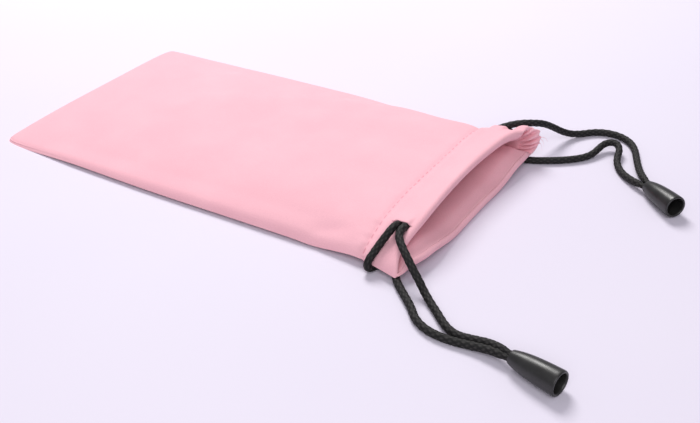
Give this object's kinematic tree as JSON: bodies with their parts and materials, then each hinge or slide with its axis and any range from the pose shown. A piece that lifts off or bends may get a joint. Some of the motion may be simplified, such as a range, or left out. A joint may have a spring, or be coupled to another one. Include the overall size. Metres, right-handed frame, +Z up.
{
  "type": "drawstring glasses pouch",
  "caption": "Soft rectangular cloth pouch for glasses, lying flat with its mouth open, closed by black drawcords that pass through hems and end in bell-shaped cord ends.",
  "frame": {"origin": "on the table under the flat back panel, in the middle of the pouch's length and width", "axes": "+X from the closed end to the mouth, +Y across the width, +Z up from the table"},
  "size_m": [0.2277, 0.1444, 0.0165],
  "materials": {
    "cloth": "soft microfibre, fine brushed nap",
    "thread": "matt sewing thread",
    "cord": "matt round braid",
    "cord_end": "satin moulded plastic"
  },
  "bodies": {
    "pouch": {"back_panel": "cloth", "back_hem": "cloth", "back_hem_stitching": "thread", "near_side_stitching": "thread", "far_side_stitching": "thread", "closed_end_stitching": "thread", "near_cord_back_run": "cord", "far_cord_back_run": "cord", "near_cord_turn": "cord", "far_cord_turn": "cord"},
    "front": {"front_panel": "cloth", "front_hem": "cloth", "front_hem_stitching": "thread", "near_cord_front_run": "cord", "far_cord_front_run": "cord"},
    "near_pull": {"near_upper_strand": "cord", "near_lower_strand": "cord", "near_cord_pair": "cord", "near_knot": "cord"},
    "far_pull": {"far_upper_strand": "cord", "far_lower_strand": "cord", "far_cord_pair": "cord", "far_knot": "cord"},
    "near_bell": {"near_cord_end": "cord_end"},
    "far_bell": {"far_cord_end": "cord_end"}
  },
  "joints": [
    {"name": "mouth_close", "type": "hinge", "parent": "pouch", "child": "front", "pos_m": [-0.086, 0, 0.001], "axis": [0, 1, 0], "range_deg": [0, 3.5], "deforming": ["front_panel", "front_hem", "front_hem_stitching", "near_cord_front_run", "far_cord_front_run"]},
    {"name": "near_draw", "type": "slide", "parent": "pouch", "child": "near_pull", "axis": [0.953, -0.303, 0], "range_m": [0, 0.05], "deforming": ["near_upper_strand", "near_lower_strand"]},
    {"name": "far_draw", "type": "slide", "parent": "pouch", "child": "far_pull", "axis": [0.9988, -0.0499, 0], "range_m": [0, 0.05], "deforming": ["far_upper_strand", "far_lower_strand"]},
    {"name": "near_end_slide", "type": "slide", "parent": "near_pull", "child": "near_bell", "axis": [-0.9756, 0.2181, -0.0262], "range_m": [0, 0.01]},
    {"name": "far_end_slide", "type": "slide", "parent": "far_pull", "child": "far_bell", "axis": [-0.7861, 0.6142, -0.0698], "range_m": [0, 0.0025]}
  ],
  "couplings": [
    {"joint": "far_draw", "follows": "near_draw", "ratio": 1},
    {"joint": "mouth_close", "follows": "near_draw", "rad_per_m": 1.22}
  ]
}
